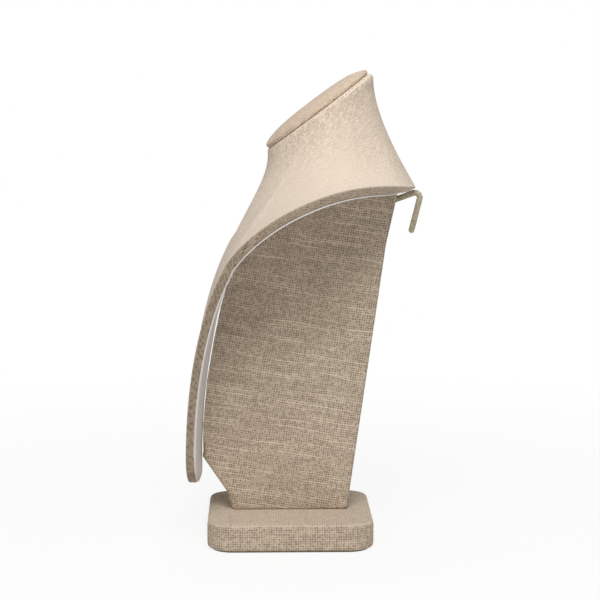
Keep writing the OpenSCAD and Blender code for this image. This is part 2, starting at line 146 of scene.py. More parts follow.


# Materials

# How a linen is woven and shows: pitch and wander of its yarns in millimetres, then how much of the colour
# comes from each yarn's tone, its roundness, the holes, each crossing's own tone and the slubs, the middle
# level between gap and yarn colour, the relief, and how much paler the cloth is drawn where it faces up, as
# painted light
Weave = namedtuple("Weave", "pitch wander tone round hole speckle slub level relief up")
BUST_WEAVE = Weave(1.4, 3.0, 0.2, 0.14, 1.6, 0.4, 0.1, 0.62, 0.2, 0.1)
CAP_WEAVE = Weave(1.4, 2.0, 0.1, 0.1, 1.8, 0.35, 0.05, 0.5, 0.3, 0.35)
LEG_WEAVE = Weave(1.5, 3.0, 0.55, 0.25, 1.5, 0.25, 0.32, 0.44, 0.5, 0.0)
BASE_WEAVE = Weave(1.5, 2.0, 0.45, 0.3, 2.0, 0.3, 0.0, 0.4, 0.5, 0.6)
# The same for the broad clouds of tone, some 17 mm wide, in every linen here
CLOUD_WEIGHT = 0.3

# The yarns of one direction: their tone, their roundness from edge to middle, the number
# of each yarn, and the number of the nearest gap between two
Yarns = namedtuple("Yarns", "tone round number gap")


def wandering(tree, in_mm, reach):
    """A place on the cloth in millimetres, moved as its yarns wander: by under a
    millimetre, over some 30 mm."""
    noise = add_node(tree, NOISE, {"Vector": in_mm, "Scale": 0.035, "Detail": 2.0})
    centred = {0: noise.outputs["Color"], 1: (0.5, 0.5, 0.5)}
    centred = add_node(tree, VECTOR_MATH, centred, operation="SUBTRACT")
    moved = {0: centred, 1: (reach, reach, 0), 2: in_mm}
    return add_node(tree, VECTOR_MATH, moved, operation="MULTIPLY_ADD")


def side_by_side(tree, across, along, pitch, drift, seed):
    """Yarns that lie side by side, a pitch apart. Each has its own tone, which drifts
    along it: the smaller the drift, the longer each stretch of one tone."""
    count = maths(tree, "DIVIDE", across, pitch)
    number = maths(tree, "FLOOR", count)
    gap = maths(tree, "ROUND", count)
    wave = maths(tree, "MULTIPLY", count, math.pi)
    wave = maths(tree, "SINE", wave)
    roundness = maths(tree, "ABSOLUTE", wave)
    run = maths(tree, "MULTIPLY", along, drift)
    apart = maths(tree, "MULTIPLY", number, 7.37)
    spot = add_node(tree, "ShaderNodeCombineXYZ", {0: run, 1: apart, 2: seed})
    tone = add_node(tree, NOISE, {"Vector": spot, "Scale": 1.0, "Detail": 1.5})
    return Yarns(tone, roundness, number, gap)


def holes_between(tree, warp, weft):
    """Holes at the corners between the yarns. Most are closed by fibres, and a few are
    open and dark."""
    beside_warp = maths(tree, "SUBTRACT", 1.0, warp.round)
    beside_weft = maths(tree, "SUBTRACT", 1.0, weft.round)
    hole = maths(tree, "MULTIPLY", beside_warp, beside_weft)
    corner = add_node(tree, "ShaderNodeCombineXYZ", {0: warp.gap, 1: weft.gap, 2: 5.0})
    opened = add_node(tree, WHITE_NOISE, {"Vector": corner}, noise_dimensions="3D")
    opened = maths(tree, "POWER", opened, 2.0)
    hole = maths(tree, "MULTIPLY", hole, opened)
    # The square has a mean of a third, so 3 keeps the mean of all holes as it was
    return maths(tree, "MULTIPLY", hole, 3.0)


def slubs(tree, weft):
    """Stretches of weft that are thicker and paler than the rest."""
    fat = in_range(tree, weft.tone, 0.5, 0.66)
    ridge = maths(tree, "POWER", weft.round, 2.0)
    return maths(tree, "MULTIPLY", fat, ridge)


def with_bark(tree, in_mm, colour):
    """A cloth's colour with bits of bark, under a millimetre, every few centimetres."""
    bark = add_node(tree, "ShaderNodeTexVoronoi", {"Vector": in_mm, "Scale": 0.11, "Randomness": 1.0})
    pick = add_node(tree, "ShaderNodeSeparateColor", {0: bark.outputs["Color"]})
    rare = maths(tree, "GREATER_THAN", pick.outputs[0], 0.75)
    near = in_range(tree, bark.outputs["Distance"], 0.035, 0.075, 0.6, 0.0, "LINEAR")
    speck = maths(tree, "MULTIPLY", rare, near)
    return mix_colours(tree, speck, colour, BARK)


def woven_linen(name, yarn, gap, weave, rim=None, shaded_holes_from=None):
    """Plain-woven linen, unbleached flax in slubby yarn, glued over a form.

    The yarns show as rows of pale dots with darker gaps, with a thicker and paler weft
    yarn here and there, and a few dark specks of bark. The real yarns lie about 0.8 mm
    apart, too fine for the picture, so they are drawn at about 1.5 mm, where they show.
    rim gives the yarn and gap colours of a darker rim, whose darkness is painted shade. shaded_holes_from is
    a height from which the holes are drawn darker, as painted shade."""
    inputs = {"Roughness": 0.92, "IOR": 1.46, "Specular IOR Level": 0.25}
    inputs |= {"Sheen Weight": 0.1, "Sheen Roughness": 0.6}
    material, tree, shader = new_material(name, inputs)
    place = add_node(tree, "ShaderNodeUVMap", uv_map=CLOTH_MAP)
    in_mm = add_node(tree, VECTOR_MATH, {0: place, "Scale": 1 / MM}, operation="SCALE")
    axes = add_node(tree, "ShaderNodeSeparateXYZ", {0: wandering(tree, in_mm, weave.wander)}).outputs
    warp = side_by_side(tree, axes[0], axes[1], weave.pitch, 0.05, 3.0)
    weft = side_by_side(tree, axes[1], axes[0], weave.pitch, 0.025, 11.0)
    both = maths(tree, "ADD", warp.number, weft.number)
    warp_on_top = maths(tree, "FLOORED_MODULO", both, 2.0)
    top_round = mix_values(tree, warp_on_top, weft.round, warp.round)
    # Each crossing has a tone of its own, so the cloth looks grainy rather than ruled
    crossing = add_node(tree, "ShaderNodeCombineXYZ", {0: warp.number, 1: weft.number})
    speckle = add_node(tree, WHITE_NOISE, {"Vector": crossing}, noise_dimensions="2D")
    hole = holes_between(tree, warp, weft)
    slub = slubs(tree, weft)
    cloud = add_node(tree, NOISE, {"Vector": in_mm, "Scale": 0.06, "Detail": 4.0})

    # Share of yarn in the colour: each part counts by how far it is from its middle
    share = weave.level
    for part, weight, middle in (
        (weft.tone, weave.tone, 0.5),
        (warp.tone, 0.5 * weave.tone, 0.5),
        (top_round, weave.round, 0.64),
        (hole, -weave.hole, 0.13),
        (speckle, weave.speckle, 0.5),
        (cloud, CLOUD_WEIGHT, 0.5),
        (slub, weave.slub, 0.15),
    ):
        offset = maths(tree, "SUBTRACT", part, middle)
        share = maths(tree, "MULTIPLY_ADD", offset, weight, share)
    surface = add_node(tree, "ShaderNodeTexCoord").outputs
    # Painted shade: from that height up, the holes are drawn darker
    if shaded_holes_from:
        height = add_node(tree, "ShaderNodeSeparateXYZ", {0: surface["Object"]}).outputs[2]
        tight = in_range(tree, height, shaded_holes_from, shaded_holes_from + 25 * MM, 0.0, -1.5 * weave.hole)
        share = maths(tree, "MULTIPLY_ADD", hole, tight, share)
    # Painted light: where it faces up, the cloth is drawn smoother and paler, as a top lit from above looks
    facing = add_node(tree, "ShaderNodeSeparateXYZ", {0: surface["Normal"]}).outputs[2]
    facing = in_range(tree, facing, 0.1, 0.95)
    painted_top_light = mix_values(tree, 0.6, share, weave.level + weave.up)
    share = mix_values(tree, facing, share, painted_top_light)
    colour = mix_colours(tree, share, gap, yarn)
    # Painted shade: the rim's darker colours, laid on by each point's share
    if rim:
        part = add_node(tree, "ShaderNodeAttribute", attribute_name=PAINTED_RIM_SHADE).outputs["Fac"]
        rim_shade_colour = mix_colours(tree, share, rim[1], rim[0])
        colour = mix_colours(tree, part, colour, rim_shade_colour)
    colour = with_bark(tree, in_mm, colour)
    relief = maths(tree, "SUBTRACT", top_round, hole)
    relief = maths(tree, "MULTIPLY_ADD", slub, 0.5, relief)
    paint(tree, shader, colour, relief, 0.25 * MM, weave.relief)
    return material


def grained(name, colour, dark, grain_mm, inputs, relief=0.5, depth_mm=0.15, detail=4.0, warp=0.0, soft=0.0):
    """A matt material of grains or fibres: a fine noise of two tones, with its relief.
    dark is the darker tone's share of the colour, and soft adds a wider cloud to it."""
    material, tree, shader = new_material(name, inputs)
    place = add_node(tree, "ShaderNodeTexCoord").outputs["Object"]
    fine = {"Vector": place, "Scale": 1 / (grain_mm * MM), "Detail": detail, "Distortion": warp}
    grain = add_node(tree, NOISE, fine)
    cloud = add_node(tree, NOISE, {"Vector": place, "Scale": 1 / (25 * MM), "Detail": 3.0})
    mixed = mix_values(tree, soft, grain, cloud)
    tone = in_range(tree, mixed, 0.3, 0.7)
    mix = mix_colours(tree, tone, darker(colour, dark), tuple(colour))
    paint(tree, shader, mix, mixed, depth_mm * MM, relief)
    return material


def braided_sleeve(colour):
    """Cotton braid over the hook's wire: matt, slightly greenish beige, with fibre ends
    that blur its yarns."""
    inputs = {"Roughness": 0.9, "Sheen Weight": 0.15}
    return grained("cotton_sleeve_braided", colour, 0.62, 1.1, inputs, detail=2.0, depth_mm=0.1)


def smooth_card(colour):
    """Calendered polystyrene card, 0.8 mm: flat, pale with a hint of lilac, with a soft
    sheen and the faint wrinkles of a sheet bent over a curve."""
    inputs = {"Roughness": 0.55, "IOR": 1.55}
    wrinkles = {"relief": 0.25, "depth_mm": 0.4, "soft": 0.5}
    return grained("polystyrene_card_calendered", colour, 0.9, 28.0, inputs, **wrinkles)


def pressed_pulp(colour):
    """Moulded paper pulp of the shell: off-white, quite matt, with short felted fibres."""
    fibres = {"relief": 0.6, "depth_mm": 0.2, "warp": 1.2}
    return grained("paper_pulp_moulded", colour, 0.74, 1.4, {"Roughness": 0.95}, **fibres)


def fibreboard(colour):
    """Medium density fibreboard, sawn: even brown, speckled by its ground fibres."""
    return grained("fibreboard_sawn", colour, 0.58, 0.9, {"Roughness": 0.9}, detail=5.0, depth_mm=0.1)


def pressed_felt(colour):
    """Needled wool felt, 1 mm: matted fibres that leave a soft, cloudy, fuzzy face."""
    inputs = {"Roughness": 1.0, "Sheen Weight": 0.3}
    fibres = {"relief": 0.8, "depth_mm": 0.2, "warp": 2.0, "soft": 0.3}
    return grained("wool_felt_needled", colour, 0.6, 0.6, inputs, **fibres)


def zinc_plate(colour):
    """Bright zinc plate on drawn steel wire and screws: a cool grey metal, faintly
    streaked by the die and the plating."""
    inputs = {"Roughness": 0.35, "Metallic": 1.0}
    return grained("steel_zinc_plated", colour, 0.75, 0.7, inputs, relief=0.2, depth_mm=0.02, detail=2.0)


# Meshes


def add_object(name, data):
    """A new object in the scene."""
    made = bpy.data.objects.new(name, data)
    bpy.context.scene.collection.objects.link(made)
    return made


def mesh_piece(name, points, faces, material, maps=None, share=None):
    """A smooth-shaded object from points in metres. maps gives each face's corners their place on the cloth,
    in metres, and share gives each point its part of the rim's painted shade."""
    mesh = bpy.data.meshes.new(name)
    mesh.from_pydata([tuple(p) for p in points], [], faces)
    if maps is not None:
        layer = mesh.uv_layers.new(name=CLOTH_MAP)
        layer.data.foreach_set("uv", np.asarray(maps, np.float32).ravel())
    if share is not None:
        attribute = mesh.attributes.new(PAINTED_RIM_SHADE, "FLOAT", "POINT")
        attribute.data.foreach_set("value", np.asarray(share, np.float32))
    mesh.materials.append(material)
    mesh.polygons.foreach_set("use_smooth", [True] * len(mesh.polygons))
    piece = add_object(name, mesh)
    shape = bmesh.new()
    shape.from_mesh(mesh)
    if shape.calc_volume(signed=True) < 0:
        bmesh.ops.reverse_faces(shape, faces=shape.faces)
        shape.to_mesh(mesh)
    shape.free()
    return piece


def finish_piece(piece, slot, *nodes):
    """Puts a finished piece on the part's one body, in place of its CAD nodes."""
    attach(piece, "root")
    if nodes:
        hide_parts(*nodes)


def merged_copy(node, name, material, smooth_below_deg, folded=None):
    """A copy of a CAD node with its triangles joined up, smooth where it bends gently.
    folded is a function that first shapes the copy's cloth."""
    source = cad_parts[node]
    shape = bmesh.new()
    shape.from_mesh(source.data)
    bmesh.ops.remove_doubles(shape, verts=shape.verts, dist=0.002 * MM)
    if folded:
        folded(shape)
    for edge in shape.edges:
        bend = edge.calc_face_angle(0.0) if len(edge.link_faces) == 2 else math.pi
        edge.smooth = bend < math.radians(smooth_below_deg)
    for face in shape.faces:
        face.smooth = True
    mesh = bpy.data.meshes.new(name)
    shape.to_mesh(mesh)
    shape.free()
    mesh.materials.append(material)
    piece = add_object(name, mesh)
    # The flat faces keep their own normals, and only the rounded edges shade softly
    weighted = piece.modifiers.new("flat_faces_first", "WEIGHTED_NORMAL")
    weighted.keep_sharp = True
    weighted.weight = 100
    graph = bpy.context.evaluated_depsgraph_get()
    shaded = bpy.data.meshes.new_from_object(piece.evaluated_get(graph))
    piece.modifiers.clear()
    piece.data = shaded
    return piece


def lay_cloth(piece, place_on_cloth):
    """Gives each face corner its place on the cloth, from its point and its face's normal."""
    mesh = piece.data
    for layer in list(mesh.uv_layers):
        mesh.uv_layers.remove(layer)
    layer = mesh.uv_layers.new(name=CLOTH_MAP)
    for face in mesh.polygons:
        for corner in face.loop_indices:
            point = mesh.vertices[mesh.loops[corner].vertex_index].co
            layer.data[corner].uv = place_on_cloth(point, face.normal)


# The bust's surface


def bezier(a, b, c, d, t):
    """Points of a cubic curve, for an array of t."""
    t = np.asarray(t, float)[..., None]
    return (1 - t) ** 3 * a + 3 * t * (1 - t) ** 2 * b + 3 * t * t * (1 - t) * c + t**3 * d


def ease(low, high, t):
    """A smooth rise from 0 at low to 1 at high."""
    u = np.clip((np.asarray(t, float) - low) / (high - low), 0, 1)
    return u * u * (3 - 2 * u)


def between(a, b, t):
    """The value at a share t of the way from a to b."""
    return a + (b - a) * np.asarray(t, float)


def unit(v):
    """Vectors brought to a length of 1."""
    v = np.asarray(v, float)
    return v / np.linalg.norm(v, axis=-1, keepdims=True)


class BustSurface:
    """The linen's outer face, as a grid of points: columns round the bust, from the
    middle of the chest, and rows from the neck's side down to the rim. It follows the
    same curves as the CAD shell, on a finer grid."""

    def __init__(self, sizes):
        self.sizes = sizes
        self.half = sizes.columns
        self.turn = 2 * sizes.columns
        self.rows = sizes.rows
        # How far each end of the side profile's two curves is pulled along its direction
        rise = sizes.bend_height - sizes.chest_height
        reach = sizes.nape_reach + sizes.bend_reach
        self.chest_pull, self.bend_pull = 0.41 * rise, 0.27 * rise
        self.back_pull, self.nape_pull = 0.2 * reach, 0.48 * reach
        self.slope = math.tan(sizes.neck_tilt)
        self.lay_outline()
        half = self.meridians()
        mirrored = half[self.half - 1 : 0 : -1] * np.array([-1, 1, 1])
        self.grid = np.concatenate([half, mirrored])
        around = np.roll(self.grid, -1, axis=0) - np.roll(self.grid, 1, axis=0)
        down = np.gradient(self.grid, axis=1)
        self.normals = unit(np.cross(down, around))
        out_x = self.grid[:, 0, 0] / sizes.neck_width**2
        out_y = (self.grid[:, 0, 1] - sizes.neck_middle) / sizes.neck_length**2
        self.wall_out = unit(np.stack([out_x, out_y, 0 * out_x], axis=-1))
        self.up_rim = unit(self.grid[:, -2] - self.grid[:, -1])
        self.cloth = self.lay_cloth(half)

    def sheet(self, w):
        """Side profile of the sheet that the rim lies on, as y and z: 0 to 1 up the
        chest, 1 to 2 back over the shoulders."""
        s = self.sizes
        low = np.array([-s.chest_reach, s.chest_height])
        bend = np.array([-s.bend_reach, s.bend_height])
        nape = np.array([s.nape_reach, s.nape_height])
        along_bend = np.array([0.47, 0.88])
        w = np.asarray(w, float)
        chest_up = low + [-MM, self.chest_pull]
        chest = bezier(low, chest_up, bend - self.bend_pull * along_bend, bend, np.clip(w, 0, 1))
        nape_back = nape + self.nape_pull * np.array([-1, 0.31])
        back = bezier(bend, bend + self.back_pull * along_bend, nape_back, nape, np.clip(w - 1, 0, 1))
        return np.where((w < 1)[..., None], chest, back)

    def on_sheet(self, x, w):
        """Points on that sheet, at x from the middle plane."""
        yz = self.sheet(w)
        return np.stack([x, yz[..., 0], yz[..., 1]], axis=-1)

    def lay_outline(self):
        """The rim's outline as half widths and places up the sheet, and each point's share
        of the way round it, which counts both its length and its turning."""
        s = self.sizes
        half_low, half_top = s.chest_width / 2, s.shoulder_width / 2
        corner = s.corner_radius / (3 * self.chest_pull)
        top = np.array([half_low + 2 * MM, 1.15 * corner])
        lean = np.array([42 * MM, 1])
        fine = 60
        step = np.arange(fine) / fine
        long_step = np.arange(2 * fine) / (2 * fine)
        straight = np.stack([(half_low - s.corner_radius) * step, 0 * step], axis=-1)
        low = np.array([half_low - s.corner_radius, 0.0])
        low_pull = np.array([half_low - 0.35 * s.corner_radius, 0])
        round_corner = bezier(low, low_pull, top - 0.4 * corner * lean, top, step)
        shoulder = np.array([half_top, 1.5])
        side = bezier(top, top + 0.45 * lean, np.array([half_top, 1.17]), shoulder, long_step)
        back = bezier(
            shoulder,
            np.array([half_top, 1.72]),
            np.array([0.61 * half_top, 2]),
            np.array([0.0, 2]),
            np.arange(2 * fine + 1) / (2 * fine),
        )
        outline = np.concatenate([straight, round_corner, side, back])
        points = self.on_sheet(outline[:, 0], outline[:, 1])
        steps = np.diff(points, axis=0)
        lengths = np.linalg.norm(steps, axis=1)
        ways = steps / lengths[:, None]
        turning = np.concatenate([[0], np.linalg.norm(np.diff(ways, axis=0), axis=1)])
        turning_weight = 14 * MM
        run = np.concatenate([[0], np.cumsum(lengths + turning_weight * turning)])
        self.run = run / run[-1]
        self.outline = outline
        sides = slice(2 * fine, 3 * fine + 1)
        self.side_heights = points[sides, 2]
        self.side_widths = outline[sides, 0]

    def top_height(self, y):
        """Height of the neck's tilted top plane at y."""
        s = self.sizes
        return s.neck_front + (y - s.neck_middle + s.neck_length / 2) * self.slope

    def meridians(self):
        """Points of one side: a curve for each column, from the neck's side to the rim.
        It leaves the neck nearly straight down and meets the rim along the sheet, aimed
        at the neck's foot, and turned up towards the nape."""
        s = self.sizes
        t = np.arange(self.half + 1) / self.half
        angle = math.pi * (0.83 * t - 0.38 * t**2 + 0.55 * t**3)
        w = np.interp(t, self.run, self.outline[:, 1])
        rim = self.on_sheet(np.interp(t, self.run, self.outline[:, 0]), w)
        zero = 0 * t
        out = unit(np.stack([np.sin(angle) / s.neck_width, -np.cos(angle) / s.neck_length, zero], axis=-1))
        y = s.neck_middle - s.neck_length / 2 * np.cos(angle)
        across = np.sqrt(1 + (self.slope * out[:, 1]) ** 2)
        z = self.top_height(y - s.neck_edge * out[:, 1]) - s.neck_edge * across
        top = np.stack([s.neck_width / 2 * np.sin(angle), y, z], axis=-1)
        along = unit(self.sheet(np.minimum(w + 0.01, 2)) - self.sheet(np.maximum(w - 0.01, 0)))
        aim_height = np.full(len(t), self.sheet(1.35)[1])
        aim = np.stack([top[:, 0], top[:, 1], aim_height], axis=-1) - rim
        slide = aim[:, 1] * along[:, 0] + aim[:, 2] * along[:, 1]
        flat_way = np.stack([aim[:, 0], slide * along[:, 0], slide * along[:, 1]], axis=-1)
        way = unit(flat_way) + np.stack([zero, zero, 1.5 * ease(0.8, 1, t)], axis=-1)
        pull = np.linalg.norm(flat_way, axis=1) * between(0.84, 0.5, ease(0.1, 0.85, t))
        drop = between(31 * MM, 25 * MM, ease(0, 0.6, t))
        lean = between(-2.9 * MM, 0, ease(0, 0.6, t))
        first = top + lean[:, None] * out - np.stack([zero, zero, drop], axis=-1)
        second = rim + pull[:, None] * unit(way)
        v = np.broadcast_to(np.arange(self.rows + 1) / self.rows, (len(t), self.rows + 1))
        points = bezier(top[:, None], first[:, None], second[:, None], rim[:, None], v)
        return self.hollow(points)

    def hollow(self, points):
        """The shallow hollow across the lower chest."""
        s = self.sizes
        half = np.interp(points[..., 2], self.side_heights, self.side_widths)
        across = np.clip(1 - (points[..., 0] / half) ** 2, 0, None)
        start = s.chest_height + 0.55 * (s.bend_height - s.chest_height)
        up = 1 - ease(start, s.bend_height, points[..., 2])
        moved = points.copy()
        moved[..., 1] += np.where(points[..., 1] > 0, 0, s.dish * across * up)
        return moved

    def row(self, j, depth):
        """One row's points, at a depth under the linen's face."""
        return self.grid[:, j] - depth * self.normals[:, j]

    def at_rim(self, depth, back):
        """The rim's points, at a depth, and moved back from the very edge."""
        return self.row(self.rows, depth) + back * self.up_rim

    def at_edge(self, depth, turned):
        """The neck's rounded upper edge, from the wall at 0 to the top plane at 1."""
        edge = self.sizes.neck_edge
        angle = turned * (math.pi / 2 + np.arctan(self.slope * self.wall_out[:, 1]))
        radius = edge - depth
        lift = np.zeros((self.turn, 3))
        lift[:, 2] = radius * np.sin(angle)
        return self.grid[:, 0] + (radius * np.cos(angle) - edge)[:, None] * self.wall_out + lift

    def at_top(self, inward, depth):
        """Points on the neck's top plane, inward from its side."""
        across = np.sqrt(1 + (self.slope * self.wall_out[:, 1]) ** 2)
        point = self.grid[:, 0] - inward * self.wall_out
        point[:, 2] = self.top_height(point[:, 1]) - depth * across
        return point

    def lay_cloth(self, half):
        """Place of each grid point of one side on the cloth: round the bust from the
        middle of the chest, and down from the neck's top. The weft starts level with that
        top, as on the real bust, so each length round is taken in planes level with it,
        and each length down follows the surface."""
        tilt = self.sizes.neck_tilt
        down = half @ np.array([0, math.sin(tilt), -math.cos(tilt)])
        levels = np.linspace(down.min(), down.max(), 200)
        lines = []
        for d, line in zip(down, half):
            lines.append([np.interp(levels, d, line[:, k]) for k in range(3)])
        steps = np.linalg.norm(np.diff(np.array(lines), axis=0), axis=1)
        across = np.concatenate([np.zeros((1, len(levels))), np.cumsum(steps, axis=0)])
        round_ = np.array([np.interp(d, levels, line) for d, line in zip(down, across)])
        lengths = np.linalg.norm(np.diff(half, axis=1), axis=2)
        fall = down[:, :1] + np.concatenate([np.zeros((len(half), 1)), np.cumsum(lengths, axis=1)], axis=1)
        return np.stack([round_, fall], axis=-1)

    def on_cloth(self, row, past):
        """Places of one row's points on the cloth, or of points past it, where the cloth
        runs on over the neck's edge or round the rim."""
        before = max(row - 1, 0)
        step = self.cloth[:, before + 1] - self.cloth[:, before]
        return self.cloth[:, row] + past * unit(step)


def skin_piece(name, surface, loops, material, rows=None, share=None):
    """A closed skin from loops of points, one point a column. rows gives each loop's row
    on the bust, for its place on the cloth, whose seam runs down behind the neck."""
    loops = np.array(loops)
    count, turn, half = len(loops), surface.turn, surface.half
    points = loops.transpose(1, 0, 2).reshape(-1, 3)
    if rows is not None:
        run = np.concatenate([[0], np.cumsum(np.linalg.norm(np.diff(loops[:, 0], axis=0), axis=1))])
        side, rim = rows.index(1) - 1, rows.index(surface.rows)
        places = []
        for k, row in enumerate(rows):
            # Over the neck's edge and round the rim, the cloth runs on past its row
            start = side if k < side else rim if row == surface.rows else k
            places.append(surface.on_cloth(row, run[k] - run[start]))
    faces, maps = [], []
    for i in range(turn):
        right = i < half
        near, far = (i, i + 1) if right else (turn - i, turn - i - 1)
        sign = 1 if right else -1
        for k in range(count):
            after = (k + 1) % count
            a, b = i * count + k, i * count + after
            c, d = ((i + 1) % turn) * count + after, ((i + 1) % turn) * count + k
            faces.append((a, d, c, b))
            if rows is not None:
                corners = (places[k][near], places[k][far], places[after][far], places[after][near])
                maps += [(sign * u, v) for u, v in corners]
    # The rim's painted shade fades towards the nape
    rim_shade_spread = None
    if share is not None:
        way = np.minimum(np.arange(turn), turn - np.arange(turn)) / half
        rim_shade_spread = np.outer(1 - 0.65 * ease(0.72, 0.95, way), share).ravel()
    return mesh_piece(name, points, faces, material, maps or None, rim_shade_spread)


# Sizes and colours a user may change


def length_property(name, description, millimetres):
    """A length that a user may change, with its default in millimetres."""
    return FloatProperty(name=name, description=description, default=millimetres * MM, unit="LENGTH")


def angle_property(name, description, degrees):
    """An angle that a user may change, with its default in degrees."""
    turned = math.radians(degrees)
    return FloatProperty(name=name, description=description, default=turned, subtype="ANGLE", unit="ROTATION")


def colour_property(name, description, text):
    """A colour that a user may change, with its default as an sRGB hex value."""
    return FloatVectorProperty(
        name=name, description=description, default=hex_colour(text), size=4, min=0, max=1, subtype="COLOR"
    )


class BustSizes(bpy.types.PropertyGroup):
    neck_length: length_property("Neck length", "Length of the neck, front to back", 67)
    neck_width: length_property("Neck width", "Width of the neck, side to side", 62)
    neck_middle: length_property("Neck axis", "From the base's middle back to the neck's axis", 19.7)
    neck_front: length_property("Neck height", "Height of the neck's front edge", 250)
    neck_tilt: angle_property("Neck tilt", "Tilt of the neck's top plane", 37)
    neck_edge: length_property("Neck edge radius", "Radius of the neck's upper edge", 2.8)
    shoulder_width: length_property("Shoulder width", "Width across the shoulders", 190)
    chest_reach: length_property("Chest reach", "From the base's middle to the chest's lower edge", 65.6)
    chest_height: length_property("Chest height", "Height of the chest's lower edge", 41)
    bend_reach: length_property("Bend reach", "From the base's middle to the bend below the shoulders", 39.9)
    bend_height: length_property("Bend height", "Height of that bend", 183.3)
    nape_reach: length_property("Nape reach", "From the base's middle back to the nape's edge", 80.4)
    nape_height: length_property("Nape height", "Height of the nape's edge", 226)
    chest_width: length_property("Chest width", "Width of the chest's lower edge", 80)
    corner_radius: length_property("Corner radius", "Radius of the chest's two lower corners", 12)
    dish: length_property("Chest hollow", "Depth of the shallow hollow across the lower chest", 2.8)
    cloth: length_property("Linen thickness", "Thickness of the linen", 0.6)
    shell: length_property("Shell thickness", "Thickness of the moulded shell", 4.8)
    lining: length_property("Lining thickness", "Thickness of the lining sheet", 0.8)
    rim_edge: length_property("Rim edge radius", "Radius of the linen where it folds round the rim", 1.0)
    columns: IntProperty(name="Columns", description="Columns of the mesh on each side", default=96, min=24)
    rows: IntProperty(name="Rows", description="Rows of the mesh down to the rim", default=45, min=12)


class CapSizes(bpy.types.PropertyGroup):
    inset: length_property("Inset", "How far the cap stays in from the neck's side", 2.4)
    shift: length_property("Shift", "How far the cap sits forward of the neck's axis", 1.6)
    side: length_property("Side height", "Height of the cap's upright side", 3.3)
    crown: length_property("Crown", "Rise of the pad above its side", 4.5)
    swell: length_property("Swell", "How far the pad may push the linen out", 0.6)
    fill: FloatProperty(
        name="Fill",
        description="How full the pad is, from slack to tight",
        default=0.85,
        min=0,
        max=1,
        subtype="FACTOR",
    )


class HookSizes(bpy.types.PropertyGroup):
    rise: angle_property("Rise", "Rise of the hook's arm from the leg", 20)
    lean: angle_property("Lean", "Lean of the hanging end towards the leg", 14)
    bend: length_property("Bend radius", "Radius of the bend, to the middle of the wire", 3.1)
    drop: length_property("Drop", "Length of the hanging end", 22.5)
    width: length_property("Sleeve diameter", "Diameter of the sleeved wire", 3.8)
    yarn: length_property("Yarn diameter", "Diameter of one yarn of the braid", 0.5)
    yarns: IntProperty(name="Yarns", description="Yarns that are laid in each direction", default=6, min=2)
    pitch: length_property("Braid pitch", "Length in which a yarn goes once round the wire", 12)


class FinishColours(bpy.types.PropertyGroup):
    bust: colour_property("Bust yarn", "Yarn of the linen on the bust", "e5d6c5")
    bust_gap: colour_property("Bust gaps", "Gaps between that linen's yarns", "c0ac97")
    # The rim's darker yarn and gap colours are painted shade on the linen that turns round the shell's edge
    rim: colour_property("Rim yarn", "Yarn of the linen round the rim", "a79682")
    rim_gap: colour_property("Rim gaps", "Gaps between that linen's yarns", "706253")
    leg: colour_property("Leg yarn", "Yarn of the linen on the leg", "ddcdb8")
    leg_gap: colour_property("Leg gaps", "Gaps between that linen's yarns", "93816d")
    base: colour_property("Base yarn", "Yarn of the linen on the base", "dccbb6")
    base_gap: colour_property("Base gaps", "Gaps between that linen's yarns", "978571")
    cap: colour_property("Cap yarn", "Yarn of the linen on the neck cap", "d9c6b2")
    cap_gap: colour_property("Cap gaps", "Gaps between that linen's yarns", "ae987e")
    sleeve: colour_property("Sleeve", "Cotton of the hook's sleeve", "c8bfa3")
    lining: colour_property("Lining", "Card inside the bust", "e6e0df")
    shell: colour_property("Shell", "Paper pulp of the shell", "e6e0d6")
    board: colour_property("Board", "Fibreboard of base, leg and cap", "b99c74")
    felt: colour_property("Felt", "Felt under the base", "b3a894")
    steel: colour_property("Steel", "Zinc plate of the wire and screws", "c8cacc")
    floor: colour_property("Floor", "Paper that the stand is on", "f2f1ef")


class StudioSettings(bpy.types.PropertyGroup):
    front: FloatProperty(name="Front light", description="Watts of the light above the camera", default=13.3)
    top: FloatProperty(name="Top light", description="Watts of the light above the stand", default=2.5)
    fill: FloatProperty(name="Room light", description="Level of the light from all round", default=0.25)
    lens: FloatProperty(name="Lens", description="Focal length on a 36 mm sensor", default=111.16)


# Operators


